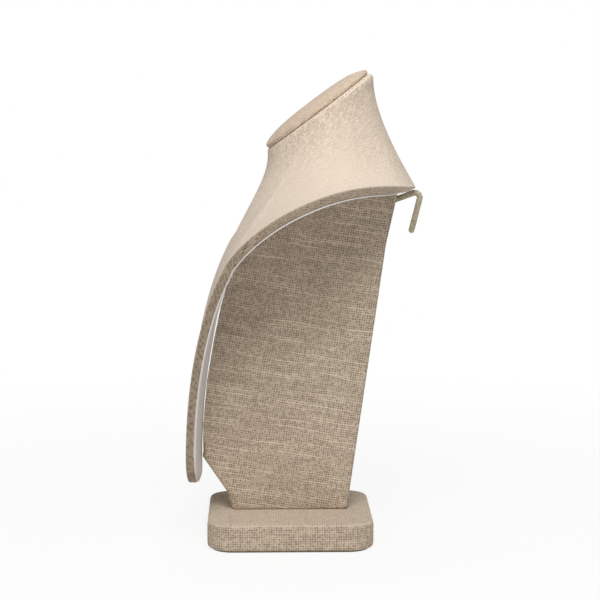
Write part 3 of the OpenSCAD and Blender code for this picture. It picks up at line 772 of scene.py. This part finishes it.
class STAND_OT_bust(bpy.types.Operator):
    """Make the bust's linen and the lining behind it"""

    bl_idname = "necklace_stand.bust"
    bl_label = "Bust"

    def execute(self, context):
        sizes, colours = context.scene.stand_bust, context.scene.stand_colours
        surface = BustSurface(sizes)
        cloth, wall = sizes.cloth, sizes.cloth + sizes.shell
        inner = wall + sizes.lining
        rows, edge = sizes.rows, sizes.rim_edge
        turns = np.linspace(0, math.pi / 2, 6)
        over_edge = np.linspace(0, 1, 7)
        # Each loop of the linen with its row and its share of the rim's painted shade
        laid = [(surface.at_top(wall, 0), 0, 0)]
        laid += [(surface.at_edge(0, turned), 0, 0) for turned in over_edge[::-1]]
        laid += [(surface.row(j, 0), j, 0) for j in range(1, rows)]
        # The painted shade deepens as the linen turns round the rim's edge, and is full on the rim itself
        for a in turns:
            point = surface.at_rim(edge * (1 - math.cos(a)), edge * (1 - math.sin(a)))
            laid.append((point, rows, 0.4 + 0.4 * a))
        for a in turns:
            point = surface.at_rim(wall - edge * (1 - math.sin(a)), edge * (1 - math.cos(a)))
            laid.append((point, rows, 1))
        laid.append((surface.at_rim(wall - cloth, edge), rows, 1))
        laid.append((surface.at_rim(1.3 * cloth, 1.3 * cloth), rows, 1))
        laid += [(surface.row(j, cloth), j, 0) for j in range(rows - 1, 0, -1)]
        laid += [(surface.at_edge(cloth, turned), 0, 0) for turned in over_edge]
        laid.append((surface.at_top(wall, cloth), 0, 0))
        loops, on_rows, share = (list(column) for column in zip(*laid))
        # The bust's linen has holes drawn darker near the neck's top, as painted shade
        linen = woven_linen(
            "flax_linen_bust_woven",
            colours.bust,
            colours.bust_gap,
            BUST_WEAVE,
            rim=(colours.rim, colours.rim_gap),
            shaded_holes_from=sizes.neck_front - 15 * MM,
        )
        cover = skin_piece("bust_linen", surface, loops, linen, on_rows, share)
        finish_piece(cover, "linen", "bust_cover")

        # The lining covers all but the top third, which is inside the neck
        first = rows // 3
        loops = [surface.row(j, wall) for j in range(first, rows)]
        loops += [surface.at_rim(wall, cloth), surface.at_rim(inner, cloth)]
        loops += [surface.row(j, inner) for j in range(rows - 1, first - 1, -1)]
        lining = skin_piece("bust_lining_card", surface, loops, smooth_card(colours.lining))
        finish_piece(lining, "lining", "bust_lining")
        return {"FINISHED"}


class STAND_OT_leg(bpy.types.Operator):
    """Make the leg's linen, with its weft square to the leg's rear edge"""

    bl_idname = "necklace_stand.leg"
    bl_label = "Leg"

    def execute(self, context):
        colours = context.scene.stand_colours
        linen = woven_linen("flax_linen_leg_woven", colours.leg, colours.leg_gap, LEG_WEAVE)
        piece = merged_copy("leg_cover", "leg_linen", linen, 40, self.fold_foot)
        grain = math.radians(9.5)

        def place(point, normal):
            # Plain on the edges of the board, turned with the grain on its two faces
            if abs(normal.x) <= 0.7:
                return point.x, point.z
            return (
                point.y * math.cos(grain) - point.z * math.sin(grain),
                point.y * math.sin(grain) + point.z * math.cos(grain),
            )

        lay_cloth(piece, place)
        finish_piece(piece, "linen", "leg_cover")
        return {"FINISHED"}

    def fold_foot(self, shape):
        """Rounds the linen in at the leg's foot and ends it just above the base, a little
        higher towards the rear, so that a dark line shows there."""
        low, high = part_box("leg_cover")
        fold, tuck = 1.5 * MM, 0.5 * MM
        for height in (0.7 * MM, fold):
            geometry = [*shape.verts, *shape.edges, *shape.faces]
            bmesh.ops.bisect_plane(shape, geom=geometry, plane_co=(0, 0, low.z + height), plane_no=(0, 0, 1))
        for vertex in shape.verts:
            up = vertex.co.z - low.z
            turned = max(0.0, 1 - up / fold) ** 2
            if abs(vertex.co.x) > high.x - 0.1 * MM:
                vertex.co.x -= math.copysign(tuck * turned, vertex.co.x)
            if up < 0.1 * MM:
                vertex.co.z += MM * (0.35 + 0.45 * float(ease(-35 * MM, 10 * MM, vertex.co.y)))


class STAND_OT_base(bpy.types.Operator):
    """Make the base's linen, laid flat on top and carried down round its sides"""

    bl_idname = "necklace_stand.base"
    bl_label = "Base"

    def execute(self, context):
        colours = context.scene.stand_colours
        linen = woven_linen("flax_linen_base_woven", colours.base, colours.base_gap, BASE_WEAVE)
        piece = merged_copy("base_cover", "base_linen", linen, 40)
        low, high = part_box("base_cover")
        corner = 15 * MM
        half = ((high.x - low.x) / 2 - corner, (high.y - low.y) / 2 - corner)

        def place(point, normal):
            # On the sides, the length round a rounded corner counts as well
            if abs(normal.z) > 0.75:
                return point.x, point.y
            if abs(normal.y) > 0.999:
                return point.x, point.z
            turned = math.atan2(max(abs(point.y) - half[1], 0), max(abs(point.x) - half[0], 1e-9))
            round_side = min(abs(point.y), half[1]) + corner * turned
            return math.copysign(round_side, point.y), point.z

        lay_cloth(piece, place)
        finish_piece(piece, "linen", "base_cover")
        return {"FINISHED"}


class STAND_OT_cap(bpy.types.Operator):
    """Make the neck's padded cap, a crowned oval under linen"""

    bl_idname = "necklace_stand.cap"
    bl_label = "Neck cap"

    def execute(self, context):
        bust, cap = context.scene.stand_bust, context.scene.stand_cap
        half_w = bust.neck_width / 2 - cap.inset
        half_d = bust.neck_length / 2 / math.cos(bust.neck_tilt) - cap.inset
        top_middle = bust.neck_front + bust.neck_length / 2 * math.tan(bust.neck_tilt)
        place = (
            Matrix.Translation((0, bust.neck_middle, top_middle))
            @ Matrix.Rotation(bust.neck_tilt, 4, "X")
            @ Matrix.Translation((0, -cap.shift, 0))
        )
        profile = self.profile(cap, half_w)
        steps = 120
        points, flat = [], []
        for inset, height in profile[:-1]:
            shrink = inset / half_w
            for k in range(steps):
                a = 2 * math.pi * k / steps
                x = (half_w * (1 - shrink)) * math.cos(a)
                y = (half_d - inset * (1 + shrink * (half_d / half_w - 1))) * math.sin(a)
                points.append(place @ Vector((x, y, height)))
                reach = 1 + max(0, cap.side - height) / half_w
                flat.append((x * reach, y * reach))
        under, peak = len(points), len(points) + 1
        points += [place @ Vector((0, 0, profile[0][1])), place @ Vector((0, 0, profile[-1][1]))]
        flat += [(0, 0), (0, 0)]
        last = len(profile) - 2
        faces = []
        for k in range(steps):
            after = (k + 1) % steps
            faces.append((under, after, k))
            for ring in range(last):
                near, far = ring * steps, (ring + 1) * steps
                faces.append((near + k, near + after, far + after, far + k))
            faces.append((last * steps + k, last * steps + after, peak))
        maps = [flat[p] for face in faces for p in face]
        colours = context.scene.stand_colours
        linen = woven_linen("flax_linen_cap_woven", colours.cap, colours.cap_gap, CAP_WEAVE)
        piece = mesh_piece("neck_cap_linen", points, faces, linen, maps)
        self.swell(context, piece, [*range(5 * steps), under], cap)
        finish_piece(piece, "linen", "neck_cap_cover", "neck_cap_pad")
        return {"FINISHED"}

    def profile(self, cap, half_w):
        """Inset and height of each ring of the cap: turned under, up the side, and over
        the pad, which is lower than its crown by the swell that is still to come."""
        turned = [(1.6, 0.05), (0.8, 0.12), (0.3, 0.45), (0.05, 1.0), (0.0, 1.8), (0.1, 2.5)]
        rings = [(inset * MM, height * MM) for inset, height in turned]
        for share in np.linspace(0, 1, 26)[1:]:
            inset = share**1.6 * half_w
            rise = 1 - (1 - share**1.6) ** 2.6
            rings.append((max(inset, 0.25 * MM), cap.side + (cap.crown - cap.swell) * rise))
        return rings

    def swell(self, context, piece, held, cap):
        """Lets the linen take up the pressure of the pad, with its turned-under edge held
        on the board. No point moves further than the pad gives."""
        edge = piece.vertex_groups.new(name="held_edge")
        edge.add(held, 1.0, "REPLACE")
        cloth = piece.modifiers.new("swelling", "CLOTH").settings
        cloth.mass = 0.005
        cloth.tension_stiffness = 1.0
        cloth.compression_stiffness = 1.0
        cloth.shear_stiffness = 1.0
        cloth.bending_stiffness = 0.05
        cloth.use_pressure = True
        cloth.uniform_pressure_force = 4.0 * cap.fill
        cloth.vertex_group_mass = edge.name
        cloth.effector_weights.gravity = 0
        for moment in range(1, 21):
            context.scene.frame_set(moment)
        graph = context.evaluated_depsgraph_get()
        swollen = piece.evaluated_get(graph).to_mesh()
        moves = [after.co - before.co for before, after in zip(piece.data.vertices, swollen.vertices)]
        for vertex, move in zip(piece.data.vertices, moves):
            vertex.co += move * min(1.0, cap.swell / max(move.length, 1e-9))
        piece.evaluated_get(graph).to_mesh_clear()
        piece.modifiers.clear()
        piece.vertex_groups.clear()
        context.scene.frame_set(1)


def braid_tree(name):
    """A node tree that lays yarns round a path, in both directions, over a core."""
    tree = bpy.data.node_groups.new(name, "GeometryNodeTree")
    for label, kind in (
        ("Geometry", "NodeSocketGeometry"),
        ("Core Radius", "NodeSocketFloat"),
        ("Yarn Radius", "NodeSocketFloat"),
        ("Yarns", "NodeSocketInt"),
        ("Pitch", "NodeSocketFloat"),
        ("Material", "NodeSocketMaterial"),
    ):
        tree.interface.new_socket(label, in_out="INPUT", socket_type=kind)
    tree.interface.new_socket("Geometry", in_out="OUTPUT", socket_type="NodeSocketGeometry")
    given = add_node(tree, "NodeGroupInput").outputs
    spaced = {"Curve": given["Geometry"], "Length": 0.35 * MM}
    path = add_node(tree, "GeometryNodeResampleCurve", spaced, mode="LENGTH")
    # The path's radius is 1, and falls to nothing over the rounded tip
    taper = add_node(tree, "GeometryNodeInputRadius")
    circle = "GeometryNodeCurvePrimitiveCircle"
    core_profile = add_node(tree, circle, {"Resolution": 24, "Radius": given["Core Radius"]})
    yarn_profile = add_node(tree, circle, {"Resolution": 6, "Radius": given["Yarn Radius"]})
    core = {"Curve": path, "Profile Curve": core_profile, "Scale": taper, "Fill Caps": True}
    laid = [add_node(tree, "GeometryNodeCurveToMesh", core)]
    length = add_node(tree, "GeometryNodeSplineParameter").outputs["Length"]
    for way in (1.0, -1.0):
        repeated = {"Geometry": path, "Amount": given["Yarns"]}
        copies = add_node(tree, "GeometryNodeDuplicateElements", repeated, domain="SPLINE")
        index = copies.outputs["Duplicate Index"]
        share = maths(tree, "DIVIDE", index, given["Yarns"])
        turned = maths(tree, "DIVIDE", length, given["Pitch"])
        turned = maths(tree, "MULTIPLY_ADD", turned, way, share)
        angle = maths(tree, "MULTIPLY", turned, 2 * math.pi)
        tangent = add_node(tree, "GeometryNodeInputTangent")
        normal = add_node(tree, "GeometryNodeInputNormal")
        out = {"Vector": normal, "Axis": tangent, "Angle": angle}
        out = add_node(tree, "ShaderNodeVectorRotate", out, rotation_type="AXIS_ANGLE")
        far = maths(tree, "MULTIPLY", taper, given["Core Radius"])
        offset = add_node(tree, VECTOR_MATH, {0: out, "Scale": far}, operation="SCALE")
        wound = add_node(tree, "GeometryNodeSetPosition", {"Geometry": copies, "Offset": offset})
        yarn = {"Curve": wound, "Profile Curve": yarn_profile, "Fill Caps": True}
        laid.append(add_node(tree, "GeometryNodeCurveToMesh", yarn))
    joined = add_node(tree, "GeometryNodeJoinGeometry")
    for part in laid:
        tree.links.new(part.outputs[0], joined.inputs[0])
    plain = add_node(tree, "GeometryNodeRealizeInstances", {0: joined})
    painted = add_node(tree, "GeometryNodeSetMaterial", {"Geometry": plain, "Material": given["Material"]})
    add_node(tree, "NodeGroupOutput", {"Geometry": painted})
    return tree


def grown_mesh(name, start, tree, values):
    """The plain mesh that a node tree makes of a starting object."""
    modifier = start.modifiers.new(tree.name, "NODES")
    modifier.node_group = tree
    for item in tree.interface.items_tree:
        if item.in_out == "INPUT" and item.name in values:
            modifier[item.identifier] = values[item.name]
    graph = bpy.context.evaluated_depsgraph_get()
    mesh = bpy.data.meshes.new_from_object(start.evaluated_get(graph))
    start.modifiers.clear()
    bpy.data.objects.remove(start)
    mesh.name = name
    return add_object(name, mesh)


class STAND_OT_hook(bpy.types.Operator):
    """Make the hook's braided sleeve along the wire"""

    bl_idname = "necklace_stand.hook"
    bl_label = "Hook"

    def execute(self, context):
        hook = context.scene.stand_hook
        path, tapers = self.lay_path(hook)
        curve = bpy.data.curves.new("hook_path", "CURVE")
        curve.dimensions = "3D"
        spline = curve.splines.new("POLY")
        spline.points.add(len(path) - 1)
        for point, place, taper in zip(spline.points, path, tapers):
            point.co = (*place, 1)
            point.radius = taper
        start = add_object("hook_path", curve)
        values = {
            "Core Radius": hook.width / 2 - hook.yarn * 0.4,
            "Yarn Radius": hook.yarn / 2,
            "Yarns": hook.yarns,
            "Pitch": hook.pitch,
            "Material": braided_sleeve(context.scene.stand_colours.sleeve),
        }
        piece = grown_mesh("hook_braid", start, braid_tree("braid_on_path"), values)
        piece.data.polygons.foreach_set("use_smooth", [True] * len(piece.data.polygons))
        finish_piece(piece, "sleeve", "hook_sleeve")
        return {"FINISHED"}

    def lay_path(self, hook):
        """The sleeve's middle line, out of the leg, round the bend and down to the tip,
        and the share of the full width at each point."""
        low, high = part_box("hook_sleeve")
        radius = hook.width / 2
        proud = 0.03 * MM
        middle = Vector((0, high.y - hook.bend - radius - proud, high.z - hook.bend - radius - proud))
        arm = Vector((0, math.cos(hook.rise), math.sin(hook.rise)))
        above = Vector((0, -math.sin(hook.rise), math.cos(hook.rise)))
        start = middle + hook.bend * above
        reach = (start.y - low.y) / arm.y - radius * 0.4
        path = [start - arm * reach * (1 - k / 12) for k in range(12)]
        turn = math.pi / 2 + hook.rise + hook.lean
        for k in range(25):
            a = hook.rise + math.pi / 2 - turn * k / 24
            path.append(middle + hook.bend * Vector((0, math.cos(a), math.sin(a))))
        down = Vector((0, math.sin(a), -math.cos(a)))
        end = path[-1]
        path += [end + down * (hook.drop - radius) * (k + 1) / 14 for k in range(14)]
        # Over the last radius the sleeve closes in a half round
        closing = [math.pi / 2 * (k + 1) / 8 for k in range(8)]
        end = path[-1]
        tapers = [1.0] * len(path) + [max(math.cos(a), 0.04) for a in closing]
        path += [end + down * (radius - 0.3 * hook.yarn) * math.sin(a) for a in closing]
        return path, tapers


class STAND_OT_inner(bpy.types.Operator):
    """Give the CAD pieces that stay their own materials"""

    bl_idname = "necklace_stand.inner"
    bl_label = "Boards, shell, felt and steel"

    def execute(self, context):
        colours = context.scene.stand_colours
        board, steel = fibreboard(colours.board), zinc_plate(colours.steel)
        finishes = {
            "base_board": board,
            "leg_board": board,
            "neck_cap_board": board,
            "base_pad": pressed_felt(colours.felt),
            "base_screws": steel,
            "hook_wire": steel,
            "bust_shell": pressed_pulp(colours.shell),
        }
        for node, material in finishes.items():
            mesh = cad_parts[node].data
            mesh.materials.clear()
            mesh.materials.append(material)
        return {"FINISHED"}


class STAND_OT_studio(bpy.types.Operator):
    """Make the pale floor, the soft light and the camera"""

    bl_idname = "necklace_stand.studio"
    bl_label = "Studio"

    def execute(self, context):
        settings = context.scene.stand_studio
        context.scene.view_settings.view_transform = "Standard"
        self.make_floor(context.scene.stand_colours.floor)
        self.make_room(context.scene, settings.fill)
        self.make_lamp("front_light", (0.9, 0.0, 1.15), 0.8, settings.front)
        self.make_lamp("top_light", (-0.1, 0.0, 1.2), 0.6, settings.top)
        self.make_camera(context.scene, settings.lens)
        return {"FINISHED"}

    def seen_directly(self, tree):
        """1 for a ray from the camera, or by a mirror or glass, so white stays white."""
        path = add_node(tree, "ShaderNodeLightPath").outputs
        seen = maths(tree, "MAXIMUM", path["Is Camera Ray"], path["Is Glossy Ray"])
        return maths(tree, "MAXIMUM", seen, path["Is Transmission Ray"])

    def make_floor(self, colour):
        """White paper. It keeps the stand's shadow near it, and fades into the room's
        white further out, so that no horizon shows."""
        material = bpy.data.materials.new("studio_floor_paper")
        tree = empty_tree(material)
        place = add_node(tree, "ShaderNodeTexCoord").outputs["Object"]
        far = add_node(tree, VECTOR_MATH, {0: place}, operation="LENGTH").outputs["Value"]
        share = in_range(tree, far, 0.12, 0.7, 0.88, 1.0)
        share = maths(tree, "MULTIPLY", share, self.seen_directly(tree))
        paper = add_node(tree, "ShaderNodeBsdfDiffuse", {"Color": tuple(colour)})
        white = add_node(tree, "ShaderNodeEmission", {"Strength": 1.0})
        mixed = add_node(tree, "ShaderNodeMixShader", {0: share, 1: paper, 2: white})
        add_node(tree, "ShaderNodeOutputMaterial", {"Surface": mixed})
        shape = bmesh.new()
        bmesh.ops.create_circle(shape, cap_ends=True, radius=6.0, segments=96)
        mesh = bpy.data.meshes.new("studio_floor")
        shape.to_mesh(mesh)
        shape.free()
        mesh.materials.append(material)
        add_object("studio_floor", mesh)

    def make_room(self, scene, level):
        """Plain light from all round, with a white background."""
        world = bpy.data.worlds.new("studio_room")
        tree = empty_tree(world)
        light = add_node(tree, "ShaderNodeBackground", {"Color": hex_colour("fffdfa"), "Strength": level})
        white = add_node(tree, "ShaderNodeBackground", {"Color": (1, 1, 1, 1), "Strength": 1.0})
        mixed = add_node(tree, "ShaderNodeMixShader", {0: self.seen_directly(tree), 1: light, 2: white})
        add_node(tree, "ShaderNodeOutputWorld", {"Surface": mixed})
        scene.world = world

    def make_lamp(self, name, place, size, watts):
        """A wide round lamp that shines on the middle of the stand."""
        lamp = bpy.data.lights.new(name, "AREA")
        lamp.shape = "DISK"
        lamp.size = size
        lamp.energy = watts
        lamp_object = add_object(name, lamp)
        lamp_object.location = place
        lit_height = 120 * MM
        aim = Vector((0, 0, lit_height)) - Vector(place)
        lamp_object.rotation_euler = aim.to_track_quat("-Z", "Y").to_euler()

    def make_camera(self, scene, lens):
        """A camera beside the stand and a little above it, as for the photograph. Its
        place and turn were fitted to the stand's outline there."""
        camera = bpy.data.cameras.new("photo_camera")
        camera.lens = lens
        camera.sensor_width = 36.0
        camera_object = add_object("photo_camera", camera)
        place = (1.1798, -0.020, 0.2968)
        pitch, yaw = math.radians(6.922), math.radians(1.301)
        ahead = Vector((-math.cos(pitch) * math.cos(yaw), math.cos(pitch) * math.sin(yaw), -math.sin(pitch)))
        right = Vector((math.sin(yaw), math.cos(yaw), 0))
        above = right.cross(ahead)
        turn = Matrix((right, above, -ahead)).transposed().to_4x4()
        camera_object.matrix_world = Matrix.Translation(place) @ turn
        scene.camera = camera_object


class STAND_PT_panel(bpy.types.Panel):
    """Lists what the necklace stand is made of"""

    bl_idname = "STAND_PT_panel"
    bl_label = "Necklace Stand"
    bl_space_type = "VIEW_3D"
    bl_region_type = "UI"
    bl_category = "Necklace Stand"

    def draw(self, context):
        for label, group, operators in (
            ("Bust", "stand_bust", (STAND_OT_bust, STAND_OT_leg, STAND_OT_base)),
            ("Neck cap", "stand_cap", (STAND_OT_cap,)),
            ("Hook", "stand_hook", (STAND_OT_hook,)),
            ("Colours", "stand_colours", (STAND_OT_inner,)),
            ("Studio", "stand_studio", (STAND_OT_studio,)),
        ):
            box = self.layout.box()
            box.label(text=label)
            settings = getattr(context.scene, group)
            for name in settings.__annotations__:
                box.prop(settings, name)
            for operator in operators:
                box.operator(operator.bl_idname)


# Each group of settings, by the scene property that holds it
GROUPS = {
    "stand_bust": BustSizes,
    "stand_cap": CapSizes,
    "stand_hook": HookSizes,
    "stand_colours": FinishColours,
    "stand_studio": StudioSettings,
}
CLASSES = (
    *GROUPS.values(),
    STAND_OT_bust,
    STAND_OT_leg,
    STAND_OT_base,
    STAND_OT_cap,
    STAND_OT_hook,
    STAND_OT_inner,
    STAND_OT_studio,
    STAND_PT_panel,
)


def register():
    for item in CLASSES:
        bpy.utils.register_class(item)
    for name, group in GROUPS.items():
        setattr(bpy.types.Scene, name, PointerProperty(type=group))


def unregister():
    for name in GROUPS:
        delattr(bpy.types.Scene, name)
    for item in reversed(CLASSES):
        bpy.utils.unregister_class(item)


def main():
    register()
    bpy.ops.necklace_stand.studio()
    bpy.ops.necklace_stand.inner()
    bpy.ops.necklace_stand.base()
    bpy.ops.necklace_stand.leg()
    bpy.ops.necklace_stand.bust()
    bpy.ops.necklace_stand.cap()
    bpy.ops.necklace_stand.hook()


if __name__ == "__main__":
    main()
